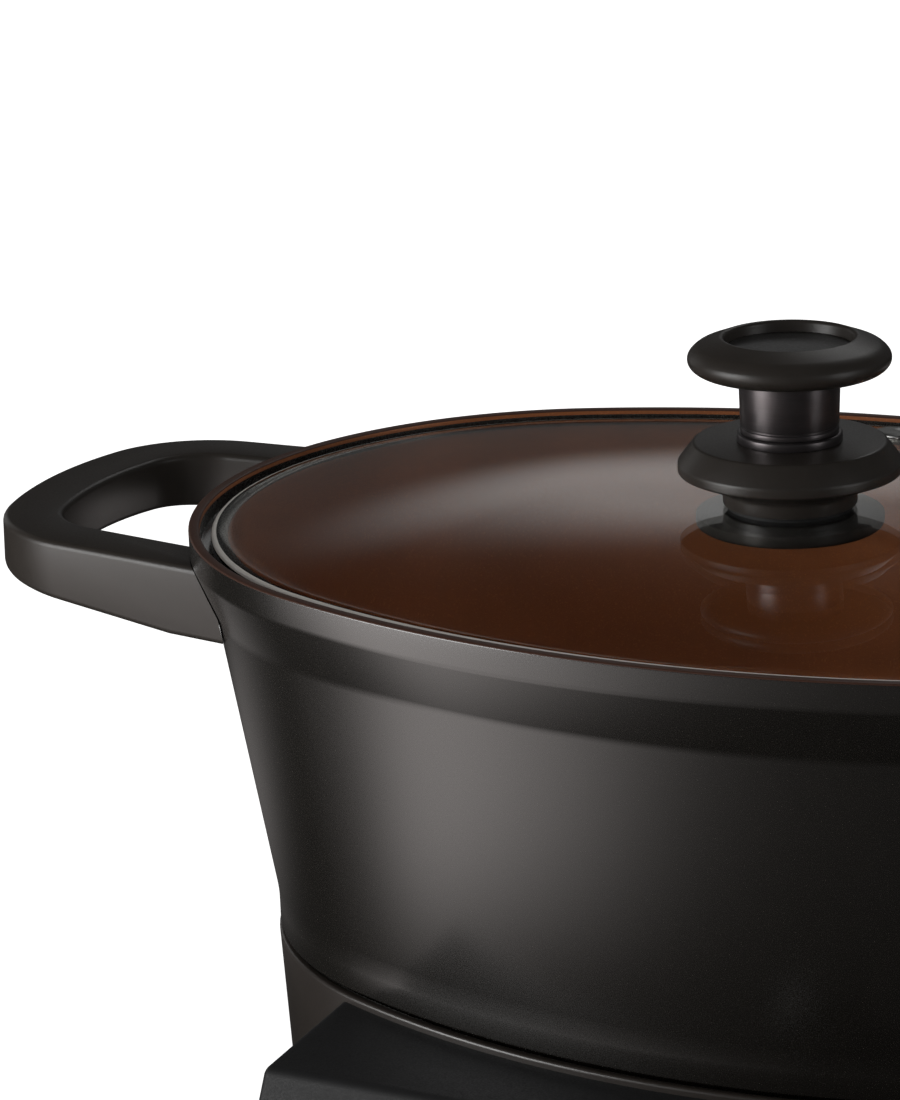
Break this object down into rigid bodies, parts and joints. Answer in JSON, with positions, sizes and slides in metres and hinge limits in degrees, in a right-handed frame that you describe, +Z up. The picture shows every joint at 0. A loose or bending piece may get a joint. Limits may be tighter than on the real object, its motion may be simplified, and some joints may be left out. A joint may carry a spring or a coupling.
{
  "type": "multicooker",
  "caption": "Oval countertop multicooker: lift-off glass lid with a knob, cast pot with loop handles, and a heated base with a sloping console that has a dial and buttons.",
  "frame": {"origin": "middle of the footprint, on the plane that the feet stand on", "axes": "+Z up, +X to the right as the user faces the console, +Y to the back where the power inlet is; the console faces -Y"},
  "size_m": [0.4402, 0.2678, 0.2241],
  "materials": {
    "lid_glass": "clear tempered glass with a ground edge",
    "steel": "bright stainless steel",
    "silicone": "matte black silicone",
    "phenolic": "satin brown-black phenolic",
    "dark_metal": "satin dark grey metal",
    "inlay": "smooth dark disc",
    "brass": "plain turned brass",
    "pot_coat": "cast aluminium with a dark metallic coat outside and a copper-brown non-stick coat inside",
    "base_plastic": "dark metallic moulded plastic",
    "black_plastic": "fine-grained black plastic",
    "gloss_black": "gloss black plastic",
    "smoke": "smoked clear plastic",
    "button_grey": "satin grey plastic",
    "mark_white": "white inlay",
    "foot_rubber": "matte black rubber",
    "cast_aluminium": "machined cast aluminium",
    "tube_steel": "heat-darkened steel",
    "guide_ceramic": "unglazed white ceramic",
    "board_green": "green circuit board",
    "winding": "varnished winding",
    "relay_blue": "blue relay case",
    "can_dark": "sleeved capacitor can",
    "wire_red": "silicone-sleeved wire"
  },
  "bodies": {
    "base": {"base_shell": "base_plastic", "bottom_cover": "black_plastic", "cover_screws": "steel", "feet": "foot_rubber", "steel_pan": "steel", "pan_screws": "steel", "heating_plate": "cast_aluminium", "plate_screws": "steel", "heating_tube": "tube_steel", "sensor_guide": "guide_ceramic", "sensor_spring": "steel", "thermal_fuse": "guide_ceramic", "power_board": "board_green", "transformer": "winding", "relay": "relay_blue", "capacitors": "can_dark", "power_inlet": "black_plastic", "inlet_pins": "brass", "wiring_loom": "wire_red", "console_housing": "black_plastic", "console_screws": "steel", "fascia": "gloss_black", "display_window": "smoke", "display_module": "black_plastic", "control_board": "board_green", "board_screws": "steel", "key_switches": "steel", "encoder": "steel"},
    "pot": {"pot_shell": "pot_coat", "left_handle": "phenolic", "right_handle": "phenolic", "handle_studs": "steel"},
    "lid": {"lid_glass": "lid_glass", "vent_eyelet": "steel", "upper_gasket": "silicone", "lower_gasket": "silicone", "knob_washer": "steel", "knob_screw": "steel", "heat_guard": "phenolic", "neck_ring": "dark_metal", "knob_neck": "dark_metal", "knob_cap": "phenolic", "knob_insert": "brass", "knob_inlay": "inlay"},
    "sensor": {"sensor_cap": "cast_aluminium"},
    "dial": {"control_dial": "base_plastic", "encoder_shaft": "steel", "dial_mark": "mark_white"},
    "upper_left_button": {"button_upper_left": "button_grey"},
    "lower_left_button": {"button_lower_left": "button_grey"},
    "upper_right_button": {"button_upper_right": "button_grey"},
    "lower_right_button": {"button_lower_right": "button_grey"}
  },
  "joints": [
    {"name": "pot_lift", "type": "slide", "parent": "base", "child": "pot", "axis": [0, 0, 1], "range_m": [0, 0.15]},
    {"name": "lid_lift", "type": "slide", "parent": "pot", "child": "lid", "axis": [0, 0, 1], "range_m": [0, 0.12]},
    {"name": "sensor_press", "type": "slide", "parent": "base", "child": "sensor", "axis": [0, 0, 1], "range_m": [-0.0015, 0], "stiffness_N_per_m": 400, "springref_m": 0.004, "deforming": ["sensor_spring"]},
    {"name": "dial_turn", "type": "hinge", "parent": "base", "child": "dial", "pos_m": [0.04, -0.11276, 0.035], "axis": [0, -0.8575, 0.5145], "continuous": true},
    {"name": "upper_left_press", "type": "slide", "parent": "base", "child": "upper_left_button", "axis": [0, -0.8575, 0.5145], "range_m": [-0.001, 0], "stiffness_N_per_m": 600, "springref_m": 0.0005},
    {"name": "lower_left_press", "type": "slide", "parent": "base", "child": "lower_left_button", "axis": [0, -0.8575, 0.5145], "range_m": [-0.001, 0], "stiffness_N_per_m": 600, "springref_m": 0.0005},
    {"name": "upper_right_press", "type": "slide", "parent": "base", "child": "upper_right_button", "axis": [0, -0.8575, 0.5145], "range_m": [-0.001, 0], "stiffness_N_per_m": 600, "springref_m": 0.0005},
    {"name": "lower_right_press", "type": "slide", "parent": "base", "child": "lower_right_button", "axis": [0, -0.8575, 0.5145], "range_m": [-0.001, 0], "stiffness_N_per_m": 600, "springref_m": 0.0005}
  ]
}
